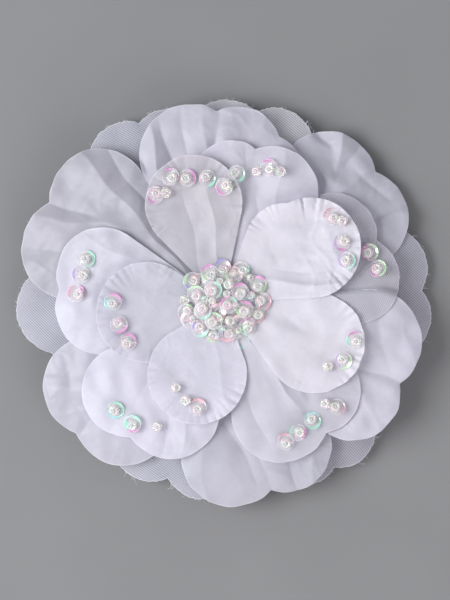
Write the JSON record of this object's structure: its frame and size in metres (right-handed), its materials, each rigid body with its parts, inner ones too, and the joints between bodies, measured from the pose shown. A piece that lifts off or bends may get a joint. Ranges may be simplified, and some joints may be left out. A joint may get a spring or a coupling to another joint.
{
  "type": "flower hair clip",
  "caption": "Flat layered fabric flower with beaded petals and a domed bead centre, glued by a felt disc to a sprung alligator clip that opens like a jaw.",
  "frame": {"origin": "middle of the part's underside: on the flower's axis, at the level of the lower leaf's flat underside", "axes": "+Z out of the flower's face along its axis, +Y towards the top of the flower, +X along the clip towards its mouth"},
  "size_m": [0.1192, 0.1162, 0.0226],
  "materials": {
    "sheer": "sheer ribbed organza, white with a cool cast",
    "satin": "soft satin sheen with fine weave",
    "felt": "matt white felt",
    "thread": "white thread",
    "bead": "clear glass with an iridescent coating",
    "sequin": "clear film with pink, mint and lilac iridescence",
    "steel": "nickel plated spring steel"
  },
  "bodies": {
    "flower": {"centre_crown_beads": "bead", "centre_crown_sequins": "sequin", "centre_inner_beads": "bead", "centre_inner_sequins": "sequin", "centre_outer_beads": "bead", "centre_outer_sequins": "sequin", "clip_upper_leaf": "steel", "crimped_petal_1": "satin", "crimped_petal_1_beads": "bead", "crimped_petal_1_sequins": "sequin", "crimped_petal_2": "satin", "crimped_petal_2_beads": "bead", "crimped_petal_2_sequins": "sequin", "crimped_petal_3": "satin", "crimped_petal_3_beads": "bead", "crimped_petal_3_sequins": "sequin", "crimped_petal_4": "satin", "crimped_petal_4_beads": "bead", "crimped_petal_4_sequins": "sequin", "crimped_petal_5": "satin", "crimped_petal_5_beads": "bead", "crimped_petal_5_sequins": "sequin", "felt_backing_disc": "felt", "hinge_pin": "steel", "organza_petal_1": "sheer", "organza_petal_1_beads": "bead", "organza_petal_1_sequins": "sequin", "organza_petal_2": "sheer", "organza_petal_2_beads": "bead", "organza_petal_2_sequins": "sequin", "organza_petal_3": "sheer", "organza_petal_3_beads": "bead", "organza_petal_3_sequins": "sequin", "organza_petal_4": "sheer", "organza_petal_4_beads": "bead", "organza_petal_4_sequins": "sequin", "organza_petal_5": "sheer", "organza_petal_5_beads": "bead", "organza_petal_5_sequins": "sequin", "satin_petal_1": "satin", "satin_petal_2": "satin", "satin_petal_3": "satin", "satin_petal_4": "satin", "satin_petal_5": "satin", "satin_petal_6": "satin", "stitched_core": "thread", "torsion_spring": "steel", "under_petal_1": "sheer", "under_petal_2": "sheer", "under_petal_3": "sheer", "under_petal_4": "sheer", "under_petal_5": "sheer", "under_petal_6": "sheer"},
    "lower_jaw": {"clip_lower_leaf": "steel"}
  },
  "joints": [
    {"name": "jaw_hinge", "type": "hinge", "parent": "flower", "child": "lower_jaw", "pos_m": [-0.009, 0, 0.0043], "axis": [0, 1, 0], "range_deg": [0, 24], "stiffness_Nm_per_rad": 0.02, "springref_deg": -34.38, "deforming": ["torsion_spring"]}
  ]
}
